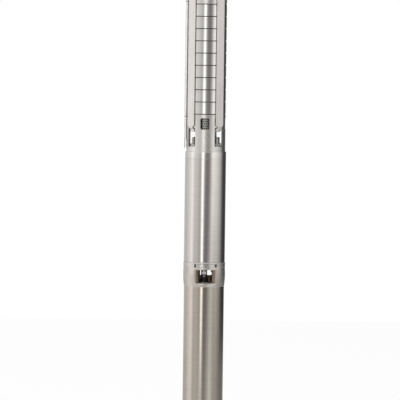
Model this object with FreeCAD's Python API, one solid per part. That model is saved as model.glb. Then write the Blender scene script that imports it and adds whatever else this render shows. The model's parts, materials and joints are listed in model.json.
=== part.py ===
import FreeCAD, Part
import math
import os

# Borehole pump set: a stage stack on two canned motors in line.
# Millimetres. +Z runs up the shaft axis, the origin is the centre of the bottom
# rim, and angles are counted from the front (-Y) towards +X.

# Fits and clearances
running_gap = 0.05
seat_gap = 0.02
loose_gap = 0.4
air_gap = 0.4
edge_break = 0.6
thin_edge_break = 0.1

# Motor fastening: register, and four studs round the shaft
register_radius = 43.6
register_height = 3.0
stud_inset = 5.5
stud_radius = 3.97
stud_hole_radius = 4.4
nut_across_flats = 12.7
nut_height = 7.0
stud_past_nut = 14.0
stud_depth = 14.0

# Lower motor
lower_rim = 2.9
lower_wall = 1.6
lower_height = 330.0
base_rim_height = 22.0
base_chamfer = 4.0

# Foot of the lower motor: cover, diaphragm and thrust bearing
foot_recess_inset = 8.0
foot_lip_width = 2.5
foot_lip_height = 2.0
cover_ring_width = 1.9
cover_ring_height = 2.0
cover_ring_half_angle = 165.0
cover_rim_width = 2.3
cover_floor = 2.6
cover_step = 1.0
cover_hole_radius = 2.5
cover_hole_circle = 44.0
cover_hole_count = 6
diaphragm_wall = 1.6
diaphragm_rim = 1.0
diaphragm_rim_width = 8.4
diaphragm_slope_width = 10.0
diaphragm_drop = 4.0
diaphragm_top = 16.0
foot_floor_low = 26.0
foot_floor = 8.0
foot_floor_bore = 8.0
foot_top = 60.0
foot_wall_inset = 12.5
pad_count = 6
pad_inner = 13.0
pad_height = 6.0
pad_half_angle = 24.0
thrust_disc_inset = 3.0
thrust_disc_height = 7.0
thrust_hub_radius = 16.0
thrust_hub_height = 9.0

# Upper motor
upper_step = 1.0
upper_wall = 1.6
upper_height = 256.0
top_rim_height = 15.5

# Shafts
motor_shaft_radius = 7.0
journal_step = 3.0
rotor_shaft_radius = 11.0
pump_shaft_radius = 6.5
coupling_radius = 12.0
coupling_length = 28.0
coupling_chamfer = 1.0
shaft_end_gap = 1.0
upper_shaft_reach = 34.0
flat_depth = 2.2
flat_low = 27.0
flat_height = 6.2
flat_angle = -5.0

# Motor insides
stator_bore = 27.2
stator_shoulder = 4.0
end_turn_height = 15.0
end_turn_inner = 31.0
rotor_shaft_end = 2.0
bush_wall = 3.0
bush_length = 24.0
journal_past_bush = 0.5
journal_below_bush = 3.0
journal_shoulder_gap = 1.0
bell_depth = 30.0
bell_skirt = 24.0
bell_boss_wall = 6.0
collar_radius = 24.0
collar_gap = 0.5
collar_height = 1.0
upper_collar_step = 2.0
seal_room = 4.0
seal_floor = 1.0
seal_height = 5.0
lower_stator_low = 112.0
lower_stator_clear = 6.0
upper_stator_foot = 50.0
upper_stator_clear = 10.0
upper_bush_drop = 4.0
upper_bell_skirt = 10.0
bottom_bush_foot = 22.0
bottom_bell_skirt = 20.0
bottom_bell_recess = 3.0
carrier_low = 62.0
carrier_height = 28.0
carrier_wall = 6.0
carrier_web_low = 14.0
carrier_web_high = 22.0
carrier_bush_foot = 6.0
carrier_boss_wall = 5.0
slinger_radius = 10.6
slinger_top_radius = 8.4
slinger_bulge_radius = 10.0
slinger_rim = 3.0
lower_slinger_height = 11.5
upper_slinger_height = 8.0
lower_slinger_gap = 1.4
upper_slinger_gap = 2.4

# Lead socket in the upper motor's top
lead_inset = 3.6
lead_thread_radius = 6.0
lead_nose_radius = 5.8
lead_hole_radius = 4.2
lead_depth = 6.0
lead_hole_floor = 2.0
lead_hex_flats = 14.0
lead_hex_height = 6.0
lead_nose_height = 4.0
lead_way_width = 17.0
lead_way_height = 24.0

# Coupling bracket
bracket_height = 56.0
bracket_top_step = 0.3
bracket_belly_step = 1.0
bracket_bead = 0.5
bracket_bead_low = 5.0
bracket_flange = 8.0
bracket_cavity_inset = 5.1
bracket_bore_inset = 8.1
bracket_neck_step = 0.4
neck_height = 14.0
window_head_band = 16.6
window_half_angle = 29.2
window_corner = 2.0
back_window_angle = 170.0
back_window_half_angle = 22.0
back_sill_height = 15.0
window_frame = 2.8
frame_depth = 1.3
frame_corner = 3.0
nut_pocket_radius = 8.4
nut_pocket_room = 1.0
strip_slot_top = 2.6
strip_slot_height = 9.4
strip_slot_half_angle = 33.0
strip_height = 5.2
strip_half_angle = 28.0
strip_wall = 5.0
strip_groove = 2.2
strip_groove_gap = 0.3
bracket_turn = 4.0

# Suction interconnector
suction_height = 88.0
suction_wall = 2.5
suction_flange = 12.0
suction_bore_inset = 10.1
suction_roof = 4.0
suction_fillet = 2.0
opening_half_angle = 15.0
opening_corner = 3.5
opening_top_band = 8.0
bar_height = 8.0
bar_depth = 5.0
bar_inset = 0.3
bar_overlap_angle = 1.5
strap_bar_drop = 24.0
port_width = 20.8
port_height = 26.5
port_corner = 4.0
port_depth = 10.0
port_top_band = 10.0
strainer_inset = 4.1
strainer_wall = 1.2
strainer_height = 34.0
strainer_bore_gap = 1.5
strainer_hole = 1.3
strainer_rows = 5
strainer_columns = 5
strainer_pitch_angle = 7.5
pump_turn = -3.5

# Stages, drawn with the chamber's lower edge at zero
stage_count = 9
stage_pitch = 28.2
stage_rim = 1.6
stage_wall = 2.0
groove_height = 1.8
groove_depth = 1.6
roof_thickness = 2.4
guide_passage = 3.2
guide_vane_count = 8
guide_vane_height = 6.0
guide_vane_eye_gap = 6.0
guide_vane_sweep = -50.0
guide_disc_thickness = 1.2
impeller_gap = 3.0
impeller_vane_count = 6
impeller_vane_height = 5.6
impeller_vane_hub_gap = 5.0
impeller_vane_tip_gap = 0.4
impeller_vane_sweep = 75.0
shroud_thickness = 1.2
shroud_low = 2.4
eye_radius = 20.0
skirt_thickness = 1.4
skirt_drop = 1.8
hub_radius = 9.5
bearing_wall = 2.9
boss_wall = 2.5
boss_drop = 14.0
ring_wall = 2.9
ring_lip = 2.0
ring_lip_height = 0.8
vane_thickness = 1.2
vane_bite = 0.2
shaft_nut_flats = 17.0
shaft_nut_height = 8.0
shaft_past_nut = 2.0
sleeve_collar_height = 6.0
sleeve_collar_step = 0.5

# Straps and cable guard
strap_width = 22.0
strap_thickness = 2.5
hook_width = 11.0
hook_reach = 8.2
hook_wall = 5.4
hook_drop = 7.0
strap_above_stack = 46.0
strap_bolt_drop = 9.0
strap_bolt_radius = 4.0
strap_bolt_head = 3.5
strap_bolt_flats = 13.0
strap_bolt_end_gap = 1.0
strap_hole_end_gap = 0.4
guard_stand = 4.6
guard_width = 22.0
guard_wall = 1.4
guard_bottom = 8.0
guard_leg_cut = 20.0
guard_above_stack = 30.0
guard_lug_width = 3.4
guard_lug_height = 8.0
guard_lug_band = 1.0
guard_screw_radius = 1.3
guard_screw_head = 2.3
guard_screw_head_height = 1.4
guard_screw_stand = 1.3

# Discharge casing and check valve
casing_height = 98.0
casing_skirt = 62.0
casing_shoulder = 12.0
casing_wall = 8.0
neck_inset = 8.2
neck_sweep = 5.0
neck_flat_inset = 2.0
neck_flat_gap = 6.0
rim_chamfer = 1.5
thread_radius = 28.3
thread_length = 26.0
thread_runout = 2.3
throat_drop = 6.0
chest_drop = 18.0
valve_bore = 20.0
valve_seat_radius = 28.0
valve_seat_height = 8.0
valve_seat_stand = 34.0
valve_seat_chamfer = 3.0
valve_seat_ledge = 4.0
valve_seat_ledge_height = 3.0
casing_funnel = 9.0
valve_arm_width = 3.0
valve_arm_root = 1.0
valve_hub_wall = 3.5
valve_hub_drop = 6.0
valve_hub_top = 4.0
stem_radius = 4.0
stem_drop = 5.0
cone_lip = 1.0
cone_lip_height = 3.0
cone_shoulder = 2.0
cone_shoulder_drop = 1.0
cone_top_height = 8.0
cone_top_radius = 17.0
cone_crown = 1.0
valve_lift = 9.0
stop_rib_width = 3.0
stop_rib_inner = 12.0
stop_rib_height = 7.0
valve_arm_angle = 30.0

# Radii that follow from the register
stage_radius = register_radius + stage_rim
lower_radius = register_radius + lower_rim
upper_radius = lower_radius + upper_step
lower_bore = lower_radius - lower_wall
upper_bore = upper_radius - upper_wall
stud_ring = register_radius - stud_inset
bracket_top_radius = upper_radius + bracket_top_step
bracket_belly_radius = upper_radius + bracket_belly_step
bracket_neck_radius = register_radius + bracket_neck_step
bracket_cavity = stud_ring - bracket_cavity_inset
bracket_bore = stud_ring - bracket_bore_inset
suction_bore = stud_ring - suction_bore_inset
strainer_radius = stud_ring - strainer_inset
lead_ring = stud_ring - lead_inset
guide_disc_radius = stage_radius - stage_wall - guide_passage
impeller_radius = guide_disc_radius - impeller_gap
strap_radius = stage_radius + seat_gap
guard_radius = stage_radius + guard_stand
neck_radius = stage_radius - neck_inset
foot_recess_radius = lower_radius - foot_recess_inset
foot_wall_radius = lower_radius - foot_wall_inset
thrust_disc_radius = foot_wall_radius - thrust_disc_inset
ring_outer = eye_radius + running_gap + ring_wall
boss_inner = hub_radius + running_gap + bearing_wall
journal_radius = motor_shaft_radius + journal_step
bush_outer = journal_radius + running_gap + bush_wall
bush_bore = bush_outer + seat_gap
shaft_fit = motor_shaft_radius + seat_gap
seal_bore = motor_shaft_radius + seal_room
collar_bore = coupling_radius + collar_gap

# Heights, from the base up
foot_pad_low = foot_floor_low + foot_floor
thrust_face = foot_pad_low + pad_height
bracket_base = lower_height
bracket_sill = bracket_base + bracket_flange
bracket_top = bracket_base + bracket_height
bracket_head = bracket_top - window_head_band
strip_slot_high = bracket_top - strip_slot_top
strip_slot_low = strip_slot_high - strip_slot_height
strip_low = strip_slot_low + (strip_slot_height - strip_height) / 2
upper_base = bracket_top
upper_top = upper_base + upper_height
upper_rim_low = upper_top - top_rim_height
stack_base = upper_top + suction_height
stack_top = stack_base + stage_count * stage_pitch
casing_top = stack_top + casing_height
skirt_top = stack_top + casing_skirt
neck_low = skirt_top + casing_shoulder
seat_low = stack_top + valve_seat_stand
seat_high = seat_low + valve_seat_height
lift_stop = seat_high + cone_top_height + valve_lift + air_gap
bolt_height = stack_top + strap_above_stack - strap_bolt_drop
opening_low = upper_top + suction_flange
opening_high = stack_base - opening_top_band
bar_high = stack_base - strap_bar_drop
bar_low = bar_high - bar_height
port_high = stack_base - port_top_band
port_low = port_high - port_height
strainer_top = stack_base - suction_roof
guide_disc_low = stage_pitch - roof_thickness - guide_vane_height - guide_disc_thickness
guide_disc_high = guide_disc_low + guide_disc_thickness
lower_stator_high = lower_height - bell_depth - lower_stator_clear
upper_stator_low = upper_base + upper_stator_foot
upper_stator_high = upper_top - bell_depth - upper_stator_clear
lower_shaft_top = bracket_top
upper_shaft_bottom = lower_shaft_top + shaft_end_gap
upper_shaft_top = upper_top + upper_shaft_reach
pump_shaft_bottom = upper_shaft_top + shaft_end_gap
upper_coupling_low = pump_shaft_bottom - coupling_length / 2
lower_coupling_low = upper_shaft_bottom - coupling_length / 2
lower_bush_low = lower_height - bell_depth
upper_bush_low = upper_top - bell_depth - upper_bush_drop
bottom_bush_low = upper_base + bottom_bush_foot
carrier_bush_low = carrier_low + carrier_bush_foot
guard_lug_lows = [stack_base - groove_height - guard_lug_band - guard_lug_height, stack_top + guard_lug_band]
stud_angles = [45.0, 135.0, 225.0, 315.0]
post_angles = [0.0, 90.0, 180.0, 270.0]
arm_angles = [valve_arm_angle, valve_arm_angle + 120.0, valve_arm_angle + 240.0]
guard_angle = 270.0


def at(radius, angle, z=0.0):
    a = math.radians(angle)
    return FreeCAD.Vector(radius * math.sin(a), -radius * math.cos(a), z)


def turned(shape, angle):
    copy = shape.copy()
    copy.rotate(FreeCAD.Vector(0, 0, 0), FreeCAD.Vector(0, 0, 1), angle)
    return copy


def lifted(shape, height):
    copy = shape.copy()
    copy.translate(FreeCAD.Vector(0, 0, height))
    return copy


def rod(radius, low, high, centre=None):
    foot = centre or FreeCAD.Vector(0, 0, 0)
    return Part.makeCylinder(radius, high - low, FreeCAD.Vector(foot.x, foot.y, low))


def tube(outer, inner, low, high):
    return rod(outer, low, high).cut(rod(inner, low - 1, high + 1))


def lathe(points):
    # A point is (r, z), or an arc: (mid r, mid z, end r, end z)
    edges = []
    start = points[0]
    last = FreeCAD.Vector(start[0], 0, start[1])
    for point in list(points[1:]) + [start]:
        end = FreeCAD.Vector(point[-2], 0, point[-1])
        if len(point) == 4:
            middle = FreeCAD.Vector(point[0], 0, point[1])
            edges.append(Part.Arc(last, middle, end).toShape())
        else:
            edges.append(Part.makeLine(last, end))
        last = end
    face = Part.Face(Part.Wire(edges))
    return face.revolve(FreeCAD.Vector(0, 0, 0), FreeCAD.Vector(0, 0, 1), 360)


def sector(inner, outer, low, high, centre, half):
    pie = Part.makeCylinder(outer, high - low, FreeCAD.Vector(0, 0, low), FreeCAD.Vector(0, 0, 1), 2 * half)
    pie = turned(pie, centre - 90.0 - half)
    return pie.cut(rod(inner, low - 1, high + 1))


def rounded(shape, radius, direction):
    # Rounds the edges that run along the given direction
    edges = []
    for edge in shape.Edges:
        if edge.Curve.TypeId != "Part::GeomLine":
            continue
        if abs(edge.tangentAt(edge.FirstParameter).dot(direction)) > 0.5:
            edges.append(edge)
    return shape.makeFillet(radius, edges)


def round_sector(inner, outer, low, high, centre, half, corner):
    raw = sector(inner, outer, low, high, 0.0, half)
    return turned(rounded(raw, corner, FreeCAD.Vector(0, -1, 0)), centre)


def plate(reach_in, reach_out, width, low, high, angle):
    # A flat block whose middle plane faces outwards at the angle
    box = Part.makeBox(width, reach_out - reach_in, high - low, FreeCAD.Vector(-width / 2, -reach_out, low))
    return turned(box, angle)


def hexagon(flats, low, high, centre, facing=0.0):
    # A hexagonal prism with one flat facing outwards at the angle
    corner = flats / math.sqrt(3)
    points = []
    for index in range(7):
        a = math.radians(60 * index + facing)
        points.append(FreeCAD.Vector(centre.x + corner * math.cos(a), centre.y + corner * math.sin(a), low))
    face = Part.Face(Part.makePolygon(points))
    return face.extrude(FreeCAD.Vector(0, 0, high - low))


def save(name, shape, angle=0.0):
    solid = turned(shape, angle) if angle else shape
    solid = solid.removeSplitter()
    if len(solid.Solids) == 1:
        solid = solid.Solids[0]
    solid.exportStep("parts/" + name + ".step")


def group(shapes):
    return Part.makeCompound(shapes)


def curved_vane(inner, outer, sweep, low, height):
    # Bent strip from the inner to the outer radius, leaning back by the sweep angle
    middle = (inner + outer) / 2
    side = vane_thickness / 2
    ends = []
    for offset in (-side, side):
        first = math.degrees(offset / inner)
        mid = math.degrees(offset / middle) + sweep * 0.58
        last = math.degrees(offset / outer) + sweep
        ends.append((at(inner, first, low), at(middle, mid, low), at(outer, last, low)))
    near, far = ends
    wire = Part.Wire([
        Part.Arc(near[0], near[1], near[2]).toShape(),
        Part.makeLine(near[2], far[2]),
        Part.Arc(far[2], far[1], far[0]).toShape(),
        Part.makeLine(far[0], near[0]),
    ])
    return Part.Face(wire).extrude(FreeCAD.Vector(0, 0, height))


def vane_ring(count, inner, outer, sweep, low, height):
    vane = curved_vane(inner, outer, sweep, low, height)
    return [turned(vane, index * 360.0 / count) for index in range(count)]


# Stage pieces
def chamber():
    r = stage_radius
    top = stage_pitch
    ring_seat = ring_outer + seat_gap
    boss_bore = boss_inner + seat_gap
    shell = lathe([
        (r, 0), (r, top - groove_height), (r - groove_depth, top - groove_height), (r - groove_depth, top),
        (ring_seat, top), (ring_seat, top - roof_thickness), (r - stage_wall, top - roof_thickness),
        (r - stage_wall, 0),
    ])
    disc = lathe([
        (boss_bore, top - boss_drop), (boss_inner + boss_wall, top - boss_drop),
        (boss_inner + boss_wall, guide_disc_low), (guide_disc_radius, guide_disc_low),
        (guide_disc_radius, guide_disc_high), (boss_bore, guide_disc_high),
    ])
    vanes = vane_ring(guide_vane_count, eye_radius + guide_vane_eye_gap, guide_disc_radius, guide_vane_sweep,
                      guide_disc_high - vane_bite, guide_vane_height + 2 * vane_bite)
    return shell.multiFuse([disc] + vanes)


def impeller():
    r = impeller_radius
    skirt_inner = eye_radius - skirt_thickness
    bore = pump_shaft_radius + seat_gap
    vane_low = shroud_low + shroud_thickness
    vane_top = vane_low + impeller_vane_height
    hub_top = stage_pitch - skirt_drop
    lower = lathe([
        (skirt_inner, -skirt_drop), (eye_radius, -skirt_drop), (eye_radius, shroud_low), (r, shroud_low),
        (r, vane_low), (skirt_inner, vane_low),
    ])
    upper = lathe([
        (bore, -skirt_drop), (hub_radius, -skirt_drop), (hub_radius, vane_top), (r, vane_top),
        (r, vane_top + shroud_thickness), (hub_radius, vane_top + shroud_thickness), (hub_radius, hub_top),
        (bore, hub_top),
    ])
    vanes = vane_ring(impeller_vane_count, hub_radius + impeller_vane_hub_gap, r - impeller_vane_tip_gap,
                      impeller_vane_sweep, vane_low - vane_bite, impeller_vane_height + 2 * vane_bite)
    return lower.multiFuse([upper] + vanes)


def neck_ring():
    inner = eye_radius + running_gap
    return lathe([
        (inner, -roof_thickness), (ring_outer, -roof_thickness), (ring_outer, 0), (ring_outer + ring_lip, 0),
        (ring_outer + ring_lip, ring_lip_height), (inner, ring_lip_height),
    ])


def stage_bearing():
    return tube(boss_inner, hub_radius + running_gap, stage_pitch - boss_drop, guide_disc_high)


def stages():
    shell = chamber()
    wheel = impeller()
    rings = []
    bushes = []
    for index in range(stage_count):
        height = stack_base + index * stage_pitch
        save("chamber_%02d" % (index + 1), lifted(shell, height))
        save("impeller_%02d" % (index + 1), lifted(wheel, height))
        rings.append(lifted(neck_ring(), height))
        bushes.append(lifted(stage_bearing(), height))
    save("neck_rings", group(rings))
    save("stage_bearings", group(bushes))


# Suction interconnector
def port_cutter():
    low = FreeCAD.Vector(-port_width / 2, -stage_radius - port_depth / 2, port_low)
    box = Part.makeBox(port_width, port_depth + port_depth / 2, port_height, low)
    return rounded(box, port_corner, FreeCAD.Vector(0, 1, 0))


def guard_lugs(low):
    # Two small ears that stand just inside the cable guard's legs
    reach = guard_radius - guard_wall - seat_gap
    offset = guard_width / 2 - guard_wall - seat_gap - guard_lug_width / 2
    lugs = []
    for side in (-1, 1):
        ear = plate(stage_radius - suction_wall, reach, guard_lug_width, low, low + guard_lug_height, 0)
        ear.translate(FreeCAD.Vector(side * offset, 0, 0))
        ear = turned(ear, guard_angle)
        lugs.append(ear.cut(guard_screw_hole(low + guard_lug_height / 2)))
    return lugs


def guard_screw_hole(height):
    start = FreeCAD.Vector(-stage_radius - guard_screw_stand, -guard_width, height)
    return Part.makeCylinder(guard_screw_radius + seat_gap, 2 * guard_width, start, FreeCAD.Vector(0, 1, 0))


def suction_shell():
    r = stage_radius
    inner = r - suction_wall
    seat = register_radius + seat_gap
    return lathe([
        (suction_bore, upper_top + register_height), (seat, upper_top + register_height), (seat, upper_top),
        (r, upper_top), (r, stack_base - groove_height), (r - groove_depth, stack_base - groove_height),
        (r - groove_depth, stack_base), (ring_outer + seat_gap, stack_base),
        (ring_outer + seat_gap, stack_base - roof_thickness), (strainer_radius, strainer_top),
        (inner, strainer_top), (inner, opening_low + suction_fillet), (inner - suction_fillet, opening_low),
        (suction_bore, opening_low),
    ])


def suction_interconnector():
    r = stage_radius
    inner = r - suction_wall - bar_depth / 2
    tools = [turned(port_cutter(), angle) for angle in post_angles]
    for angle in stud_angles:
        tools.append(round_sector(inner, r + bar_depth, opening_low, opening_high, angle, opening_half_angle,
                                  opening_corner))
        tools.append(rod(stud_hole_radius, upper_top, opening_low + 1, at(stud_ring, angle)))
    body = suction_shell().cut(group(tools))
    bar_half_angle = opening_half_angle + bar_overlap_angle
    bars = [sector(r - bar_depth, r - bar_inset, bar_low, bar_high, angle, bar_half_angle)
            for angle in stud_angles]
    body = body.multiFuse(bars + guard_lugs(guard_lug_lows[0]))
    lead_way = plate(suction_bore - 1, r + 1, lead_way_width, upper_top - 1, upper_top + lead_way_height,
                     guard_angle)
    return body.cut(lead_way)


def suction_strainer():
    r = strainer_radius
    low = strainer_top - strainer_height
    bore = pump_shaft_radius + strainer_bore_gap
    cup = lathe([
        (bore, low), (r, low), (r, strainer_top), (r - strainer_wall, strainer_top),
        (r - strainer_wall, low + strainer_wall), (bore, low + strainer_wall),
    ])
    holes = []
    row_pitch = port_height / strainer_rows
    for post in post_angles:
        for row in range(strainer_rows):
            stagger = 0.25 if row % 2 else -0.25
            height = port_low + (row + 0.5) * row_pitch
            for column in range(strainer_columns):
                step = column - (strainer_columns - 1) / 2.0 + stagger
                angle = post + step * strainer_pitch_angle
                start = at(r - 3 * strainer_wall, angle, height)
                holes.append(Part.makeCylinder(strainer_hole, 6.0 * strainer_wall, start, at(1, angle)))
    return cup.cut(group(holes))


# Straps, strap bolts and cable guard
def tie_strap():
    low = bar_low - loose_gap
    high = stack_top + strap_above_stack
    outer = strap_radius + strap_thickness
    hook_inner = strap_radius - hook_reach
    bend = low - strap_thickness
    strap = plate(strap_radius, outer, strap_width, low, high, 0)
    foot = plate(hook_inner, outer, hook_width, bend, low, 0)
    toe = plate(hook_inner, hook_inner + hook_wall, hook_width, bend - hook_drop, bend, 0)
    start = FreeCAD.Vector(0, -outer - 1, bolt_height)
    inwards = FreeCAD.Vector(0, 1, 0)
    hole = Part.makeCylinder(strap_bolt_radius + seat_gap, strap_thickness + 2, start, inwards)
    return strap.multiFuse([foot, toe]).cut(hole)


def strap_bolt():
    face = strap_radius + strap_thickness
    shank_length = strap_thickness + casing_wall - strap_bolt_end_gap
    head = hexagon(strap_bolt_flats, 0, strap_bolt_head, FreeCAD.Vector(0, 0, 0))
    bolt = head.fuse(rod(strap_bolt_radius, -shank_length, 0))
    bolt.rotate(FreeCAD.Vector(0, 0, 0), FreeCAD.Vector(1, 0, 0), 90)
    bolt.translate(FreeCAD.Vector(0, -face, bolt_height))
    return bolt


def cable_guard():
    low = upper_top + guard_bottom
    high = stack_top + guard_above_stack
    leg_root = math.sqrt(stage_radius ** 2 - (guard_width / 2 - guard_wall) ** 2) + loose_gap
    shape = plate(guard_radius - guard_wall, guard_radius, guard_width, low, high, 0)
    for side in (-1, 1):
        leg = plate(leg_root, guard_radius, guard_wall, low + guard_leg_cut, high, 0)
        leg.translate(FreeCAD.Vector(side * (guard_width - guard_wall) / 2, 0, 0))
        shape = shape.fuse(leg)
    shape = turned(shape, guard_angle)
    for lug_low in guard_lug_lows:
        shape = shape.cut(guard_screw_hole(lug_low + guard_lug_height / 2))
    return shape


def guard_screws():
    screws = []
    for lug_low in guard_lug_lows:
        height = lug_low + guard_lug_height / 2
        for side in (-1, 1):
            face = FreeCAD.Vector(-stage_radius - guard_screw_stand, side * guard_width / 2, height)
            outwards = FreeCAD.Vector(0, side, 0)
            shank = Part.makeCylinder(guard_screw_radius, guard_wall + guard_lug_width, face, -outwards)
            head = Part.makeCylinder(guard_screw_head, guard_screw_head_height, face, outwards)
            screws.append(shank.fuse(head))
    return group(screws)


# Discharge casing and check valve
def casing_body():
    r = stage_radius
    chest = r - casing_wall
    throat = thread_radius - thread_runout
    foot_bore = r - 2 * stage_wall
    seat = valve_seat_radius + seat_gap
    ledge = valve_bore + valve_seat_ledge
    ledge_low = seat_low - valve_seat_ledge_height
    sweep_height = skirt_top + 0.6 * casing_shoulder
    return lathe([
        (r, stack_top), (r, skirt_top), (neck_radius + neck_sweep, sweep_height, neck_radius, neck_low),
        (neck_radius, casing_top - rim_chamfer), (neck_radius - rim_chamfer, casing_top),
        (thread_radius, casing_top), (thread_radius, casing_top - thread_length),
        (throat, casing_top - thread_length), (throat, neck_low - throat_drop),
        (chest, neck_low - chest_drop), (chest, seat_high), (seat, seat_high), (seat, seat_low),
        (ledge, seat_low), (ledge, ledge_low), (foot_bore, ledge_low - casing_funnel), (foot_bore, stack_top),
    ])


def discharge_casing():
    r = stage_radius
    flat_low_edge = neck_low + neck_flat_gap
    tools = []
    flat_depth_radius = neck_radius - neck_flat_inset
    for angle in (0.0, 180.0):
        tools.append(plate(flat_depth_radius, neck_radius + 1, 2 * r, flat_low_edge, casing_top + 1, angle))
    for angle in stud_angles:
        tools.append(Part.makeCylinder(strap_bolt_radius + seat_gap, casing_wall - strap_hole_end_gap,
                                       at(r + seat_gap, angle, bolt_height), at(-1, angle)))
    # The ribs stop the rising valve cone
    ribs = [plate(stop_rib_inner, r - neck_inset - rim_chamfer, stop_rib_width, lift_stop,
                  lift_stop + stop_rib_height, angle) for angle in arm_angles]
    return casing_body().cut(group(tools)).multiFuse(ribs + guard_lugs(guard_lug_lows[1]))


def valve_seat():
    r = valve_seat_radius
    ring = lathe([
        (valve_bore, seat_low), (r, seat_low), (r, seat_high), (valve_bore + valve_seat_chamfer, seat_high),
        (valve_bore, seat_high - valve_seat_chamfer),
    ])
    hub_radius_outer = stem_radius + valve_hub_wall
    hub = tube(hub_radius_outer, stem_radius + running_gap, seat_low - valve_hub_drop,
               seat_high - valve_hub_top)
    arms = [plate(hub_radius_outer - valve_arm_root, valve_bore + valve_arm_root, valve_arm_width, seat_low,
                  seat_low + valve_arm_width, angle) for angle in arm_angles]
    return ring.multiFuse([hub] + arms)


def valve_cone():
    lip = valve_bore + valve_seat_chamfer
    lip_low = seat_high + loose_gap
    shoulder = lip_low - valve_seat_chamfer
    return lathe([
        (0, seat_low - stem_drop), (stem_radius, seat_low - stem_drop),
        (stem_radius, shoulder - cone_shoulder_drop), (valve_bore - cone_shoulder, shoulder),
        (lip - cone_lip, lip_low), (lip + cone_lip, lip_low), (lip + cone_lip, lip_low + cone_lip_height),
        (cone_top_radius, seat_high + cone_top_height - cone_crown), (0, seat_high + cone_top_height),
    ])


# Motors
def motor_insides(low, high, bore, journals, ends):
    # Stator and rotor between the two bells, with the shaft stepped at its bearings
    outer = bore - seat_gap
    shoulder = bore - stator_shoulder
    core_low = low + end_turn_height
    core_high = high - end_turn_height
    stator = lathe([
        (stator_bore, core_low), (end_turn_inner, core_low), (end_turn_inner, low), (shoulder, low),
        (shoulder, core_low), (outer, core_low), (outer, core_high), (shoulder, core_high), (shoulder, high),
        (end_turn_inner, high), (end_turn_inner, core_high), (stator_bore, core_high),
    ])
    rotor = tube(stator_bore - air_gap, rotor_shaft_radius + seat_gap, core_low, core_high)
    shaft = lathe([
        (0, ends[0]), (motor_shaft_radius, ends[0]), (motor_shaft_radius, journals[0]),
        (journal_radius, journals[0]), (journal_radius, low + rotor_shaft_end),
        (rotor_shaft_radius, low + rotor_shaft_end), (rotor_shaft_radius, high - rotor_shaft_end),
        (journal_radius, high - rotor_shaft_end), (journal_radius, journals[1]),
        (motor_shaft_radius, journals[1]), (motor_shaft_radius, ends[1]), (0, ends[1]),
    ])
    return stator, rotor, shaft


def motor_bearing(low):
    return tube(bush_outer, journal_radius + running_gap, low, low + bush_length)


def stud_sockets(face):
    return [rod(stud_radius + seat_gap, face - stud_depth, face + register_height + 1, at(stud_ring, angle))
            for angle in stud_angles]


def lower_motor_top_bell():
    r = lower_bore - seat_gap
    top = lower_height
    register_top = top + register_height
    mouth = top + bracket_flange + collar_height
    bush_top = lower_bush_low + bush_length
    body = lathe([
        (bush_bore, lower_bush_low), (bush_bore + bell_boss_wall, lower_bush_low), (r, top - bell_skirt),
        (r, top), (register_radius, top), (register_radius, register_top), (collar_radius, register_top),
        (collar_radius, mouth), (collar_bore, mouth), (collar_bore, top + seal_floor),
        (seal_bore, top + seal_floor), (seal_bore, bush_top), (bush_bore, bush_top),
    ])
    return body.cut(group(stud_sockets(top)))


def upper_motor_top_bell():
    r = upper_bore - seat_gap
    top = upper_top
    rim = upper_rim_low
    register_top = top + register_height
    mouth = register_top + 2 * collar_height
    collar = collar_radius - upper_collar_step
    bush_top = upper_bush_low + bush_length
    body = lathe([
        (bush_bore, upper_bush_low), (bush_bore + bell_boss_wall, upper_bush_low),
        (r, rim - upper_bell_skirt), (r, rim), (upper_radius, rim), (upper_radius, top - edge_break),
        (upper_radius - edge_break, top), (register_radius, top), (register_radius, register_top),
        (collar, register_top), (collar, mouth), (collar_bore, mouth),
        (collar_bore, top - seal_room), (seal_bore, top - seal_room), (seal_bore, bush_top),
        (bush_bore, bush_top),
    ])
    lead_thread = rod(lead_thread_radius + seat_gap, top - lead_depth, register_top + 1,
                      at(lead_ring, guard_angle))
    return body.cut(group(stud_sockets(top) + [lead_thread]))


def lead_socket():
    centre = at(lead_ring, guard_angle)
    floor = upper_top + register_height
    hex_top = floor + lead_hex_height
    nose_top = hex_top + lead_nose_height
    body = rod(lead_thread_radius, upper_top - lead_depth, floor, centre)
    body = body.fuse(hexagon(lead_hex_flats, floor, hex_top, centre))
    body = body.fuse(rod(lead_nose_radius, hex_top, nose_top, centre))
    return body.cut(rod(lead_hole_radius, upper_top - lead_hole_floor, nose_top + 1, centre))


def upper_motor_bottom_bell():
    r = upper_bore - seat_gap
    neck = bracket_neck_radius
    low = upper_base - neck_height
    groove_low = strip_low - strip_groove_gap
    groove_high = strip_low + strip_height + strip_groove_gap
    lip_top = upper_base + edge_break
    throat = coupling_radius + 4 * running_gap + seal_room
    bush_top = bottom_bush_low + bush_length
    recess = bottom_bush_low - bottom_bell_recess
    return lathe([
        (throat, low), (neck, low), (neck, groove_low), (neck - strip_groove, groove_low),
        (neck - strip_groove, groove_high), (neck, groove_high), (neck, upper_base),
        (upper_radius, upper_base), (upper_radius, lip_top), (r, lip_top),
        (r, upper_base + bottom_bell_skirt),
        (bush_bore + bell_boss_wall, bush_top), (bush_bore, bush_top), (bush_bore, bottom_bush_low),
        (seal_bore + loose_gap, bottom_bush_low), (seal_bore + loose_gap, recess), (throat, recess),
    ])


def bracket_window(low, high, centre, half):
    far = bracket_belly_radius + frame_corner
    opening = round_sector(bracket_cavity / 2, far, low, high, centre, half, window_corner)
    frame_half = half + math.degrees(window_frame / bracket_belly_radius)
    frame = round_sector(bracket_belly_radius - frame_depth, far, low - window_frame, high + window_frame,
                         centre, frame_half, frame_corner)
    return [opening, frame]


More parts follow.
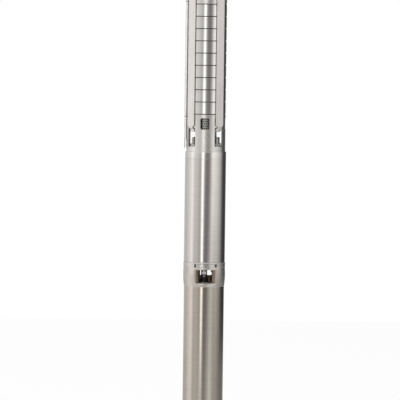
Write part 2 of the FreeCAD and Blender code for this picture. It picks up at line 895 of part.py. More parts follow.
def bracket_shell():
    low = bracket_base
    top = bracket_top
    seat = register_radius + seat_gap
    neck = bracket_neck_radius + seat_gap
    neck_seat = top - neck_height - seat_gap
    bead = bracket_top_radius + bracket_bead
    bead_low = bracket_head + bracket_bead_low
    rim = top - thin_edge_break
    return lathe([
        (bracket_bore, low + register_height), (seat, low + register_height), (seat, low),
        (lower_radius, low),
        (bracket_belly_radius, low + 0.5 * bracket_height, bracket_top_radius, bead_low),
        (bead, bead_low + 2 * bracket_bead), (bead, top - edge_break), (bracket_top_radius, rim), (neck, rim),
        (neck, neck_seat), (bracket_bore, neck_seat), (bracket_bore, bracket_head + bracket_bead),
        (bracket_cavity, bracket_head + bracket_bead), (bracket_cavity, bracket_sill),
        (bracket_bore, bracket_sill),
    ])


def coupling_bracket():
    sill = bracket_sill
    pocket_top = sill + nut_height + stud_past_nut + nut_pocket_room
    tools = bracket_window(sill, bracket_head, 0.0, window_half_angle)
    tools += bracket_window(sill + back_sill_height, bracket_head, back_window_angle, back_window_half_angle)
    for angle in stud_angles:
        centre = at(stud_ring, angle)
        tools.append(rod(stud_hole_radius, bracket_base - 1, sill + 1, centre))
        tools.append(rod(nut_pocket_radius, sill, pocket_top, centre))
        tools.append(plate(bracket_cavity - nut_pocket_radius, stud_ring, 2 * nut_pocket_radius, sill,
                           pocket_top, angle))
    for angle in (0.0, 180.0):
        tools.append(sector(bracket_neck_radius - strip_groove, bracket_belly_radius + frame_corner,
                            strip_slot_low, strip_slot_high, angle, strip_slot_half_angle))
    return bracket_shell().cut(group(tools))


def locking_strips():
    inner = bracket_neck_radius - strip_groove + seat_gap
    strips = [sector(inner, inner + strip_wall, strip_low, strip_low + strip_height, angle, strip_half_angle)
              for angle in (0.0, 180.0)]
    return group(strips)


def wrench_flats(shaft, low, high):
    flats = []
    for angle in (flat_angle, flat_angle + 180.0):
        flats.append(plate(motor_shaft_radius - flat_depth, motor_shaft_radius + 1, 2 * journal_radius, low,
                           high, angle))
    return shaft.cut(group(flats))


def coupling(low):
    high = low + coupling_length
    chamfered = coupling_radius - coupling_chamfer
    return lathe([
        (shaft_fit, low), (chamfered, low), (coupling_radius, low + coupling_chamfer),
        (coupling_radius, high - coupling_chamfer), (chamfered, high), (shaft_fit, high),
    ])


def slinger(low, height):
    return lathe([
        (shaft_fit, low), (slinger_radius, low), (slinger_radius, low + slinger_rim),
        (slinger_bulge_radius, low + 0.55 * height, slinger_top_radius, low + height),
        (shaft_fit, low + height),
    ])


def shaft_seal(low):
    return tube(seal_bore - seat_gap, motor_shaft_radius + running_gap, low, low + seal_height)


def thrust_housing():
    r = lower_radius
    fit = lower_bore - seat_gap
    lip = foot_recess_radius - foot_lip_width
    return lathe([
        (lip, 0), (r - base_chamfer, 0), (r, base_chamfer), (r, base_rim_height), (fit, base_rim_height),
        (fit, foot_top), (foot_wall_radius, foot_top), (foot_wall_radius, foot_pad_low),
        (foot_floor_bore, foot_pad_low), (foot_floor_bore, foot_floor_low), (lip, foot_floor_low),
        (lip, diaphragm_top), (foot_recess_radius, diaphragm_top), (foot_recess_radius, foot_lip_height),
        (lip, foot_lip_height),
    ])


def thrust_pads():
    outer = thrust_disc_radius - 1
    pads = [sector(pad_inner, outer, foot_pad_low, thrust_face, 360.0 * index / pad_count, pad_half_angle)
            for index in range(pad_count)]
    return group(pads)


def thrust_disc():
    low = thrust_face + running_gap
    disc_top = thrust_face + thrust_disc_height
    hub_top = disc_top + thrust_hub_height
    return lathe([
        (shaft_fit, low), (thrust_disc_radius, low), (thrust_disc_radius, disc_top),
        (thrust_hub_radius, disc_top), (thrust_hub_radius, hub_top), (shaft_fit, hub_top),
    ])


def diaphragm():
    outer = foot_recess_radius - thin_edge_break
    slope_outer = outer - diaphragm_rim_width
    slope_inner = slope_outer - diaphragm_slope_width
    rim_low = diaphragm_top - diaphragm_rim
    dome_low = rim_low - diaphragm_drop
    dome_high = dome_low + diaphragm_wall
    return lathe([
        (0, dome_low), (slope_inner, dome_low), (slope_outer, rim_low), (outer, rim_low),
        (outer, diaphragm_top - seat_gap), (slope_outer, diaphragm_top - seat_gap), (slope_inner, dome_high),
        (0, dome_high),
    ])


def cover_ring():
    low = foot_lip_height + seat_gap
    outer = foot_recess_radius - thin_edge_break
    return sector(outer - cover_ring_width, outer, low, low + cover_ring_height, 0.0, cover_ring_half_angle)


def diaphragm_cover():
    outer = foot_recess_radius - thin_edge_break
    rim_inner = outer - cover_rim_width
    rim_low = foot_lip_height + cover_ring_height + 2 * seat_gap
    rim_high = diaphragm_top - diaphragm_rim - seat_gap
    floor_low = rim_low - cover_step
    floor_high = floor_low + cover_floor
    floor_edge = rim_inner - cover_rim_width
    disc = lathe([
        (0, floor_low), (floor_edge, floor_low), (floor_edge + cover_step, rim_low), (outer, rim_low),
        (outer, rim_high), (rim_inner, rim_high), (rim_inner, floor_high), (0, floor_high),
    ])
    angles = [360.0 * index / cover_hole_count for index in range(cover_hole_count)]
    holes = [rod(cover_hole_radius, floor_low - 1, floor_high + 1, at(cover_hole_circle / 2, angle))
             for angle in angles]
    return disc.cut(group(holes))


def bearing_carrier():
    r = lower_bore - seat_gap
    boss = bush_outer + carrier_boss_wall
    high = carrier_low + carrier_height
    web_low = carrier_low + carrier_web_low
    bush_top = carrier_bush_low + bush_length
    return lathe([
        (bush_bore, carrier_bush_low), (boss, carrier_bush_low), (boss, web_low), (r - carrier_wall, web_low),
        (r - carrier_wall, carrier_low), (r, carrier_low), (r, high), (r - carrier_wall / 2, high),
        (boss, carrier_low + carrier_web_high), (boss, bush_top), (bush_bore, bush_top),
    ])


def lower_motor():
    save("lower_motor_sleeve", tube(lower_radius, lower_bore, base_rim_height, lower_height))
    save("lower_motor_top_bell", lower_motor_top_bell(), bracket_turn)
    save("lower_bearing_carrier", bearing_carrier())
    save("thrust_housing", thrust_housing())
    journals = (carrier_bush_low - journal_below_bush, lower_bush_low + bush_length + journal_past_bush)
    ends = (thrust_face, lower_shaft_top)
    stator, rotor, shaft = motor_insides(lower_stator_low, lower_stator_high, lower_bore, journals, ends)
    flats_at = bracket_base + flat_low
    save("lower_stator", stator)
    save("lower_rotor", rotor)
    save("lower_motor_shaft", wrench_flats(shaft, flats_at, flats_at + flat_height))
    save("thrust_disc", thrust_disc())
    save("thrust_pads", thrust_pads())
    save("diaphragm", diaphragm())
    save("diaphragm_cover", diaphragm_cover())
    save("cover_ring", cover_ring())


def upper_motor():
    save("upper_motor_sleeve", tube(upper_radius, upper_bore, upper_base + edge_break, upper_rim_low))
    save("upper_motor_bottom_bell", upper_motor_bottom_bell(), bracket_turn)
    save("upper_motor_top_bell", upper_motor_top_bell(), pump_turn)
    journals = (bottom_bush_low - journal_below_bush + journal_shoulder_gap,
                upper_bush_low + bush_length + journal_past_bush)
    ends = (upper_shaft_bottom, upper_shaft_top)
    stator, rotor, shaft = motor_insides(upper_stator_low, upper_stator_high, upper_bore, journals, ends)
    save("upper_stator", stator)
    save("upper_rotor", rotor)
    save("upper_motor_shaft", shaft)
    save("lead_socket", lead_socket(), pump_turn)


def motor_small_parts():
    bush_lows = (carrier_bush_low, lower_bush_low, bottom_bush_low, upper_bush_low)
    seal_lows = (lower_height + seal_floor - seal_height, upper_top - seal_room - seal_height)
    save("motor_bearings", group([motor_bearing(low) for low in bush_lows]))
    save("shaft_seals", group([shaft_seal(low) for low in seal_lows]))
    lower_slinger = slinger(bracket_sill + lower_slinger_gap, lower_slinger_height)
    upper_slinger = slinger(upper_top + register_height + upper_slinger_gap, upper_slinger_height)
    save("sand_slingers", group([lower_slinger, upper_slinger]))


def motor_fastening():
    studs = []
    nuts = []
    lower_joint = (lower_height, bracket_sill, bracket_turn)
    upper_joint = (upper_top, opening_low, pump_turn)
    for foot, floor, turn in (lower_joint, upper_joint):
        top = floor + nut_height + stud_past_nut
        for angle in stud_angles:
            centre = at(stud_ring, angle + turn)
            studs.append(rod(stud_radius, foot - stud_depth, top, centre))
            nut = hexagon(nut_across_flats, floor, floor + nut_height, centre, angle + turn)
            nuts.append(nut.cut(rod(stud_radius + seat_gap, floor - 1, top, centre)))
    save("motor_studs", group(studs))
    save("motor_nuts", group(nuts))


def bracket_pieces():
    save("coupling_bracket", coupling_bracket(), bracket_turn)
    save("locking_strips", locking_strips(), bracket_turn)
    save("lower_coupling", coupling(lower_coupling_low))


def pump_shaft():
    shoulder = stack_base - skirt_drop
    top = stack_top - skirt_drop + shaft_nut_height + shaft_past_nut
    splined_top = upper_coupling_low + coupling_length + shaft_past_nut
    collar = hub_radius - sleeve_collar_step
    collar_low = shoulder - sleeve_collar_height
    return lathe([
        (0, pump_shaft_bottom), (motor_shaft_radius, pump_shaft_bottom), (motor_shaft_radius, splined_top),
        (pump_shaft_radius, splined_top), (pump_shaft_radius, collar_low), (collar, collar_low),
        (collar, shoulder), (pump_shaft_radius, shoulder), (pump_shaft_radius, top), (0, top),
    ])


def shaft_nut():
    low = stack_top - skirt_drop
    high = low + shaft_nut_height
    body = hexagon(shaft_nut_flats, low, high, FreeCAD.Vector(0, 0, 0))
    return body.cut(rod(pump_shaft_radius + seat_gap, low - 1, high + 1))


def pump_end():
    save("suction_interconnector", suction_interconnector(), pump_turn)
    save("suction_strainer", suction_strainer(), pump_turn)
    save("pump_coupling", coupling(upper_coupling_low))
    save("pump_shaft", pump_shaft())
    save("shaft_nut", shaft_nut())
    save("tie_straps", group([turned(tie_strap(), angle) for angle in stud_angles]), pump_turn)
    save("strap_bolts", group([turned(strap_bolt(), angle) for angle in stud_angles]), pump_turn)
    save("cable_guard", cable_guard(), pump_turn)
    save("guard_screws", guard_screws(), pump_turn)
    save("discharge_casing", discharge_casing(), pump_turn)
    save("valve_seat", valve_seat(), pump_turn)
    save("valve_cone", valve_cone())


os.makedirs("parts", exist_ok=True)
lower_motor()
bracket_pieces()
upper_motor()
motor_small_parts()
motor_fastening()
pump_end()
stages()
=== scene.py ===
import bpy
import json
import math
import numpy as np
from mathutils import Matrix, Vector


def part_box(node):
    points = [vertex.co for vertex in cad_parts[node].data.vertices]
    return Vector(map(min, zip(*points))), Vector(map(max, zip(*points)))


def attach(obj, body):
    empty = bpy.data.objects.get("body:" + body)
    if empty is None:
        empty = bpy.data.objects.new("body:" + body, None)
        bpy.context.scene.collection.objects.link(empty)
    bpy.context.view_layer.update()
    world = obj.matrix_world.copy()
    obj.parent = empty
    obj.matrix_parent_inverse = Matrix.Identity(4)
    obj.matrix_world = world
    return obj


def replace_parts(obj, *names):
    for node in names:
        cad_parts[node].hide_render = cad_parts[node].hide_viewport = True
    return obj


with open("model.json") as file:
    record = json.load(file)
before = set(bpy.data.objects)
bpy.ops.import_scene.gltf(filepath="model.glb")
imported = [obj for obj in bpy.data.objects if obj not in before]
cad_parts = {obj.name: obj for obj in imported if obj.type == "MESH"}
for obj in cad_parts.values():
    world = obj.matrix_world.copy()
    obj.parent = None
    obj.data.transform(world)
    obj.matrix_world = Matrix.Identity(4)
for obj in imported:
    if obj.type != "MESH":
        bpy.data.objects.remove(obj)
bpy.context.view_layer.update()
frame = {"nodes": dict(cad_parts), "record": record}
nodes = frame["nodes"]
mm = 0.001
fullTurn = 2.0 * math.pi
slotOf = {part["node"]: part["material_slot"] for part in frame["record"]["subparts"]}


# Where things are, read from the frame in millimetres
def lowOf(nodeName):
    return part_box(nodeName)[0].z / mm


def highOf(nodeName):
    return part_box(nodeName)[1].z / mm


def halfWidth(nodeName):
    low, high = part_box(nodeName)
    return (high.y - low.y) / 2 / mm


def around(radius, angle):
    # point on a circle, angle from the front towards +X: x = r sin(angle), y = -r cos(angle)
    return radius * np.sin(angle), -radius * np.cos(angle)


# Surfaces from arrays
def gridFaces(rows, columns, closeRows=False, closeColumns=True):
    # quads between neighbouring rows and columns, wrapped where a direction is closed
    r = np.arange(rows if closeRows else rows - 1)
    c = np.arange(columns if closeColumns else columns - 1)
    rr, cc = np.meshgrid(r, c, indexing="ij")
    nextR, nextC = (rr + 1) % rows, (cc + 1) % columns
    quads = np.stack([rr * columns + cc, rr * columns + nextC, nextR * columns + nextC,
                      nextR * columns + cc], -1)
    return quads.reshape(-1, 4)


def signedVolume(points, triangles):
    # sum of a . (b x c) / 6 over the triangles, negative when the faces look inwards
    a, b, c = points[triangles[:, 0]], points[triangles[:, 1]], points[triangles[:, 2]]
    return float(np.einsum("ij,ij->i", a, np.cross(b, c)).sum() / 6)


def gridSurface(grid, closeRows=False):
    # faces of a tube-like grid; open ends get a fan round their middle point; outwards by signed volume
    rows, columns = grid.shape[:2]
    points = grid.reshape(-1, 3)
    quads = gridFaces(rows, columns, closeRows)
    triangles = np.concatenate([quads[:, [0, 1, 2]], quads[:, [0, 2, 3]]])
    fans = np.zeros((0, 3), int)
    if not closeRows:
        ring = np.arange(columns)
        ahead = (ring + 1) % columns
        middle = len(points)
        points = np.concatenate([points, grid[0].mean(0)[None], grid[-1].mean(0)[None]])
        offset = (rows - 1) * columns
        start = np.stack([ahead, ring, np.full(columns, middle)], -1)
        end = np.stack([offset + ring, offset + ahead, np.full(columns, middle + 1)], -1)
        fans = np.concatenate([start, end])
    if signedVolume(points, np.concatenate([triangles, fans])) < 0:
        quads, fans = quads[:, ::-1], fans[:, ::-1]
    return points, quads, fans


def addPiece(name, surfaces, body, material, sharpAngle=35.0):
    # joins any number of (points, quads, triangles) into one mesh object in metres
    offset, allPoints, allFaces = 0, [], []
    for points, quads, triangles in surfaces:
        allPoints.append(points * mm)
        allFaces += (quads + offset).tolist() + (triangles + offset).tolist()
        offset += len(points)
    mesh = bpy.data.meshes.new(name)
    mesh.from_pydata(np.concatenate(allPoints).tolist(), [], allFaces)
    mesh.shade_smooth()
    mesh.set_sharp_from_angle(angle=math.radians(sharpAngle))
    mesh.materials.append(material)
    piece = bpy.data.objects.new(name, mesh)
    bpy.context.scene.collection.objects.link(piece)
    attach(piece, body)
    return piece


def roundedCorners(corners, steps=4):
    # corners are (u, v, radius): each becomes a quadratic curve between its two tangent points, with one more
    # point just past either end so that the long flats beside it shade flat
    flat = np.array([corner[:2] for corner in corners], float)
    out = []
    for i, corner in enumerate(corners):
        here = flat[i]
        towardsLast, towardsNext = flat[i - 1] - here, flat[(i + 1) % len(flat)] - here
        lastLength, nextLength = np.linalg.norm(towardsLast), np.linalg.norm(towardsNext)
        if corner[2] <= 0:
            out.append(here[None])
            continue
        reach = min(corner[2], 0.48 * lastLength, 0.48 * nextLength)
        t = np.linspace(0, 1, steps + 1)[:, None]
        back, ahead = towardsLast / lastLength, towardsNext / nextLength
        start, end = here + back * reach, here + ahead * reach
        curve = (1 - t) ** 2 * start + 2 * t * (1 - t) * here + t ** 2 * end
        before = start + back * min(0.3 * reach, 0.015 * lastLength)
        after = end + ahead * min(0.3 * reach, 0.015 * nextLength)
        out.append(np.concatenate([before[None], curve, after[None]]))
    return np.concatenate(out)


def turnedSurface(corners, segments=160, steps=4):
    # surface of revolution of a closed outline: (r sin a, -r cos a, z)
    outline = roundedCorners(corners, steps)
    angle = np.arange(segments) * fullTurn / segments
    x, y = around(outline[:, 0][:, None], angle[None])
    grid = np.stack([x, y, np.broadcast_to(outline[:, 1][:, None], x.shape)], -1)
    return gridSurface(grid, closeRows=True)


def placed(surface, matrix):
    # the same surface moved by a 3 x 4 matrix
    points, quads, triangles = surface
    return points @ matrix[:, :3].T + matrix[:, 3], quads, triangles


def standing(radius, angleDegrees, z, spin=0.0):
    # matrix that stands a piece drawn about its own z axis at a place round the pump axis
    x, y = around(radius, math.radians(angleDegrees))
    c, s = math.cos(math.radians(spin)), math.sin(math.radians(spin))
    return np.array([[c, -s, 0, x], [s, c, 0, y], [0, 0, 1, z]], float)


def facing(outward, place):
    # matrix that lays a piece's own z axis along a level outward direction
    w = np.array([outward[0], outward[1], 0.0])
    w /= np.linalg.norm(w)
    u = np.array([-w[1], w[0], 0.0])
    return np.column_stack([u, np.cross(w, u), w, np.array(place, float)])


def threadedRod(radius, low, high, pitch, depth, columns=40, perTurn=10):
    # screw surface: r = R - depth (1 + cos(2 pi z / pitch - angle)) / 2, run out to a chamfer at the tip
    rows = int((high - low) / pitch * perTurn) + 1
    z = np.linspace(low, high, rows)[:, None]
    angle = (np.arange(columns) * fullTurn / columns)[None]
    wave = 0.5 * (1 + np.cos(fullTurn * z / pitch - angle))
    tip = np.clip((high - z) / 1.2, 0, 1)
    r = np.minimum(radius - depth * wave, radius - 1.2 * (1 - tip))
    grid = np.stack([r * np.cos(angle), r * np.sin(angle), np.broadcast_to(z, r.shape)], -1)
    return gridSurface(grid)


def hexHead(flats, low, high, chamfer, boreRadius=0.0, columns=96):
    # hexagon r = (flats / 2) / cos(angle to the nearest flat), cut by a 30 degree cone at each end
    angle = np.arange(columns) * fullTurn / columns
    side = fullTurn / 6
    hexRadius = flats / 2 / np.cos((angle + side / 2) % side - side / 2)
    z = np.concatenate([low + chamfer * np.linspace(0, 1, 5), high - chamfer * np.linspace(1, 0, 5)])
    fromEnd = np.minimum(z - low, high - z)[:, None]
    cone = flats / 2 * 0.97 + fromEnd * 1.75
    r = np.minimum(hexRadius[None], cone)
    if boreRadius:
        bore = np.full((1, columns), boreRadius)
        r = np.concatenate([bore, r, bore])
        z = np.concatenate([z[:1], z, z[-1:]])
    grid = np.stack([r * np.cos(angle), r * np.sin(angle), np.broadcast_to(z[:, None], r.shape)], -1)
    return gridSurface(grid, closeRows=bool(boreRadius))


def screwHead(radius, height, slotWidth, slotDepth, columns=48):
    # pan head: z = height (0.72 + 0.28 sqrt(1 - (r / R)^2)), less the slot depth where |x| < half its width
    share = np.concatenate([[1.0, 1.0], np.linspace(0.98, 0.0, 14)])
    angle = np.arange(columns) * fullTurn / columns
    r = radius * share[:, None] * np.ones(columns)
    x, y = r * np.cos(angle), r * np.sin(angle)
    dome = height * (0.72 + 0.28 * np.sqrt(np.clip(1 - share ** 2, 0, 1)))[:, None] * np.ones(columns)
    z = np.where(np.abs(x) < slotWidth / 2, dome - slotDepth, dome)
    z[0] = 0.0
    return gridSurface(np.stack([x, y, z], -1))


# Shader building blocks
def newGroup(name, inputs, outputs):
    group = bpy.data.node_groups.new(name, "ShaderNodeTree")
    for label, kind, value in inputs:
        socket = group.interface.new_socket(label, in_out="INPUT", socket_type=kind)
        if value is not None:
            socket.default_value = value
    for label, kind in outputs:
        group.interface.new_socket(label, in_out="OUTPUT", socket_type=kind)
    return group, group.nodes.new("NodeGroupInput"), group.nodes.new("NodeGroupOutput")


def wire(tree, value, socket):
    if isinstance(value, (tuple, list)):
        socket.default_value = (*value, 1.0) if len(value) == 3 and socket.type == "RGBA" else value
    elif isinstance(value, (int, float)):
        socket.default_value = value
    else:
        tree.links.new(value, socket)


def mathNode(tree, operation, first, second=0.0, clamp=False):
    node = tree.nodes.new("ShaderNodeMath")
    node.operation = operation
    node.use_clamp = clamp
    wire(tree, first, node.inputs[0])
    wire(tree, second, node.inputs[1])
    return node.outputs[0]


def noiseNode(tree, vector, scale, detail=3.0, roughness=0.55):
    node = tree.nodes.new("ShaderNodeTexNoise")
    node.inputs["Scale"].default_value = scale
    node.inputs["Detail"].default_value = detail
    node.inputs["Roughness"].default_value = roughness
    tree.links.new(vector, node.inputs["Vector"])
    return node.outputs["Fac"]


def stretched(tree, vector, scale):
    node = tree.nodes.new("ShaderNodeMapping")
    node.inputs["Scale"].default_value = scale
    tree.links.new(vector, node.inputs["Vector"])
    return node.outputs["Vector"]


def rangeNode(tree, value, low, high, outLow=0.0, outHigh=1.0):
    node = tree.nodes.new("ShaderNodeMapRange")
    node.inputs["From Min"].default_value = low
    node.inputs["From Max"].default_value = high
    node.inputs["To Min"].default_value = outLow
    node.inputs["To Max"].default_value = outHigh
    tree.links.new(value, node.inputs["Value"])
    return node.outputs["Result"]


def mixColor(tree, fac, first, second, blend="MIX"):
    node = tree.nodes.new("ShaderNodeMix")
    node.data_type = "RGBA"
    node.blend_type = blend
    sockets = {socket.identifier: socket for socket in node.inputs}
    wire(tree, fac, sockets["Factor_Float"])
    wire(tree, first, sockets["A_Color"])
    wire(tree, second, sockets["B_Color"])
    return [socket for socket in node.outputs if socket.identifier == "Result_Color"][0]


def buildGrainGroup():
    # brushed grain: noise stretched along the brushing, once as fine lines and once as wide bands
    group, source, sink = newGroup("brushedGrain", [("Vector", "NodeSocketVector", None)],
                                   [("Fine", "NodeSocketFloat"), ("Band", "NodeSocketFloat")])
    vector = source.outputs["Vector"]
    group.links.new(noiseNode(group, vector, 90.0, 4.0, 0.7), sink.inputs["Fine"])
    group.links.new(noiseNode(group, vector, 14.0, 2.0, 0.5), sink.inputs["Band"])
    return group


def buildSoilGroup():
    # handling marks: cloud above a threshold, with sparse specks added
    group, source, sink = newGroup("handlingMarks",
                                   [("Vector", "NodeSocketVector", None), ("Amount", "NodeSocketFloat", 0.5)],
                                   [("Mask", "NodeSocketFloat")])
    cloud = noiseNode(group, source.outputs["Vector"], 22.0, 5.0, 0.6)
    speck = noiseNode(group, source.outputs["Vector"], 260.0, 2.0, 0.5)
    dots = mathNode(group, "MULTIPLY", rangeNode(group, speck, 0.62, 0.75), 0.5)
    both = mathNode(group, "ADD", rangeNode(group, cloud, 0.52, 0.72), dots, True)
    group.links.new(mathNode(group, "MULTIPLY", both, source.outputs["Amount"]), sink.inputs["Mask"])
    return group


def buildEdgeGroup():
    # worn edges: the surface's pointiness above its middle value
    group, source, sink = newGroup("wornEdges", [("Amount", "NodeSocketFloat", 0.5)],
                                   [("Mask", "NodeSocketFloat")])
    geometry = group.nodes.new("ShaderNodeNewGeometry")
    sharp = rangeNode(group, geometry.outputs["Pointiness"], 0.51, 0.60)
    group.links.new(mathNode(group, "MULTIPLY", sharp, source.outputs["Amount"]), sink.inputs["Mask"])
    return group


def buildHollowGroup():
    # rougher inside with painted shading: 1 where the distance from the pump axis is under the given radius;
    # the colour laid with it is painted shading, set per material
    group, source, sink = newGroup("roughInsideWithPaintedShading",
                                   [("Vector", "NodeSocketVector", None),
                                    ("Radius", "NodeSocketFloat", 0.04)],
                                   [("Mask", "NodeSocketFloat")])
    split = group.nodes.new("ShaderNodeSeparateXYZ")
    group.links.new(source.outputs["Vector"], split.inputs[0])
    squared = mathNode(group, "ADD", mathNode(group, "POWER", split.outputs["X"], 2.0),
                       mathNode(group, "POWER", split.outputs["Y"], 2.0))
    away = mathNode(group, "SUBTRACT", source.outputs["Radius"], mathNode(group, "SQRT", squared))
    group.links.new(rangeNode(group, away, -0.0002, 0.0004), sink.inputs["Mask"])
    return group


def buildJointGroup():
    # stage joints: 1 where height above the stack's foot, wrapped by the stage pitch, is in the groove
    group, source, sink = newGroup("stageJoints",
                                   [("Vector", "NodeSocketVector", None),
                                    ("Foot", "NodeSocketFloat", 0.73),
                                    ("Pitch", "NodeSocketFloat", 0.0282),
                                    ("Groove", "NodeSocketFloat", 0.0018)],
                                   [("Mask", "NodeSocketFloat")])
    split = group.nodes.new("ShaderNodeSeparateXYZ")
    group.links.new(source.outputs["Vector"], split.inputs[0])
    above = mathNode(group, "SUBTRACT", split.outputs["Z"], source.outputs["Foot"])
    wrapped = mathNode(group, "FLOORED_MODULO", above, source.outputs["Pitch"])
    start = mathNode(group, "SUBTRACT", source.outputs["Pitch"], source.outputs["Groove"])
    inside = mathNode(group, "SUBTRACT", wrapped, start)
    group.links.new(rangeNode(group, inside, -0.0001, 0.0001), sink.inputs["Mask"])
    return group


grainGroup = buildGrainGroup()
soilGroup = buildSoilGroup()
edgeGroup = buildEdgeGroup()
hollowGroup = buildHollowGroup()
jointGroup = buildJointGroup()


def placeGroup(tree, group, **values):
    node = tree.nodes.new("ShaderNodeGroup")
    node.node_tree = group
    for label, value in values.items():
        wire(tree, value, node.inputs[label])
    return node


aroundGrain = (1.0, 1.0, 26.0)     # lines that run round the tube
alongGrain = (24.0, 24.0, 1.0)     # lines that run up the strip
castGrain = (6.0, 6.0, 6.0)        # blasted casting
stackFoot = lowOf("chamber_01") * mm
stagePitch = (lowOf("chamber_02") - lowOf("chamber_01")) * mm
steelDefaults = {
    "grain": aroundGrain, "soil": 0.15, "edges": 0.4, "color": (0.68, 0.645, 0.607),
    "soilColor": (0.42, 0.40, 0.37), "edgeColor": (0.80, 0.79, 0.77), "bandDepth": 0.05,
    "fineDepth": 0.13, "roughness": 0.125, "bump": 0.15, "insideRadius": 0.0,
    # the default inside colour is a painted shade
    "insideColor": (0.10, 0.095, 0.09), "jointPitch": 0.0, "edgeRadius": 0.0003,
}


def steel(name, **changes):
    # stainless: grain in colour, roughness and bump, soiled patches, bright edges, a rougher inside whose
    # colour is painted shading (dark for painted shade, light for painted light), dark joints
    settings = {**steelDefaults, **changes}
    material = bpy.data.materials.new(name)
    material.use_nodes = True
    tree = material.node_tree
    shader = tree.nodes["Principled BSDF"]
    shader.inputs["Metallic"].default_value = 1.0
    place = tree.nodes.new("ShaderNodeTexCoord").outputs["Object"]
    grain = placeGroup(tree, grainGroup, Vector=stretched(tree, place, settings["grain"]))
    soil = placeGroup(tree, soilGroup, Vector=place, Amount=settings["soil"]).outputs["Mask"]
    edges = placeGroup(tree, edgeGroup, Amount=settings["edges"]).outputs["Mask"]
    bands = rangeNode(tree, grain.outputs["Band"], 0.3, 0.7, 1.0 - settings["bandDepth"], 1.0)
    lines = rangeNode(tree, grain.outputs["Fine"], 0.3, 0.7, 1.0 - settings["fineDepth"], 1.0)
    tint = mixColor(tree, 1.0, settings["color"], mathNode(tree, "MULTIPLY", bands, lines), "MULTIPLY")
    tint = mixColor(tree, soil, tint, settings["soilColor"])
    tint = mixColor(tree, edges, tint, settings["edgeColor"])
    dull = soil
    if settings["insideRadius"]:
        # painted shading: inside the radius the colour is replaced by the painted inside colour, and the
        # surface is made rougher
        inside = placeGroup(tree, hollowGroup, Vector=place, Radius=settings["insideRadius"]).outputs["Mask"]
        tint = mixColor(tree, inside, tint, settings["insideColor"])
        dull = mathNode(tree, "ADD", dull, inside, True)
    if settings["jointPitch"]:
        joint = placeGroup(tree, jointGroup, Vector=place, Foot=stackFoot, Pitch=settings["jointPitch"])
        joint = joint.outputs["Mask"]
        tint = mixColor(tree, joint, tint, (0.015, 0.014, 0.013))
    tree.links.new(tint, shader.inputs["Base Color"])
    rough = rangeNode(tree, grain.outputs["Fine"], 0.25, 0.75, settings["roughness"] * 0.85,
                      settings["roughness"] * 1.2)
    rough = mathNode(tree, "ADD", rough, mathNode(tree, "MULTIPLY", dull, 0.2), True)
    tree.links.new(rough, shader.inputs["Roughness"])
    soften = tree.nodes.new("ShaderNodeBevel")
    soften.samples = 4
    soften.inputs["Radius"].default_value = settings["edgeRadius"]
    bump = tree.nodes.new("ShaderNodeBump")
    bump.inputs["Strength"].default_value = settings["bump"]
    bump.inputs["Distance"].default_value = 0.00003
    tree.links.new(grain.outputs["Fine"], bump.inputs["Height"])
    tree.links.new(soften.outputs["Normal"], bump.inputs["Normal"])
    tree.links.new(bump.outputs["Normal"], shader.inputs["Normal"])
    return material


def softMatter(name, color, second, soilColor, roughness, scale):
    # rubber, carbon, resin and mouldings: cloudy colour, soiled patches and a speckled surface
    material = bpy.data.materials.new(name)
    material.use_nodes = True
    tree = material.node_tree
    shader = tree.nodes["Principled BSDF"]
    place = tree.nodes.new("ShaderNodeTexCoord").outputs["Object"]
    cloud = noiseNode(tree, place, scale, 4.0, 0.6)
    soil = placeGroup(tree, soilGroup, Vector=place, Amount=0.25).outputs["Mask"]
    tint = mixColor(tree, soil, mixColor(tree, cloud, color, second), soilColor)
    tree.links.new(tint, shader.inputs["Base Color"])
    rough = rangeNode(tree, cloud, 0.3, 0.7, roughness - 0.08, roughness + 0.08)
    tree.links.new(rough, shader.inputs["Roughness"])
    bump = tree.nodes.new("ShaderNodeBump")
    bump.inputs["Strength"].default_value = 0.25
    bump.inputs["Distance"].default_value = 0.0001
    tree.links.new(noiseNode(tree, place, scale * 12, 2.0), bump.inputs["Height"])
    tree.links.new(bump.outputs["Normal"], shader.inputs["Normal"])
    return material


upperSteel = steel("upperSleeveSteel")
lowerSteel = steel("lowerSleeveSteel", color=(0.63, 0.565, 0.495), roughness=0.13, soil=0.2)
stageSteel = steel("stageSteel", color=(0.645, 0.615, 0.585), roughness=0.12, jointPitch=stagePitch)
stripSteel = steel("stripSteel", grain=alongGrain, color=(0.84, 0.80, 0.775), roughness=0.28, bandDepth=0.08)
castSteel = steel("castSteel", grain=castGrain, color=(0.68, 0.645, 0.61), roughness=0.27, soil=0.3)
# inside colour: painted shade darkening the recessed inside faces of the interconnector's ports
suctionSteel = steel("suctionSteel", grain=castGrain, color=(0.68, 0.645, 0.61), roughness=0.27, soil=0.3,
                     insideRadius=0.0425, jointPitch=1.0)     # one joint, where the stack stands on it
# inside colour: painted light, a bright beige standing in for light on the side walls of the bracket's
# windows
bracketSteel = steel("bracketSteel", grain=castGrain, color=(0.70, 0.645, 0.59), roughness=0.34, soil=0.3,
                     insideRadius=0.0455, insideColor=(0.80, 0.70, 0.60))
fastenerSteel = steel("fastenerSteel", color=(0.60, 0.585, 0.565), roughness=0.24, soil=0.4)
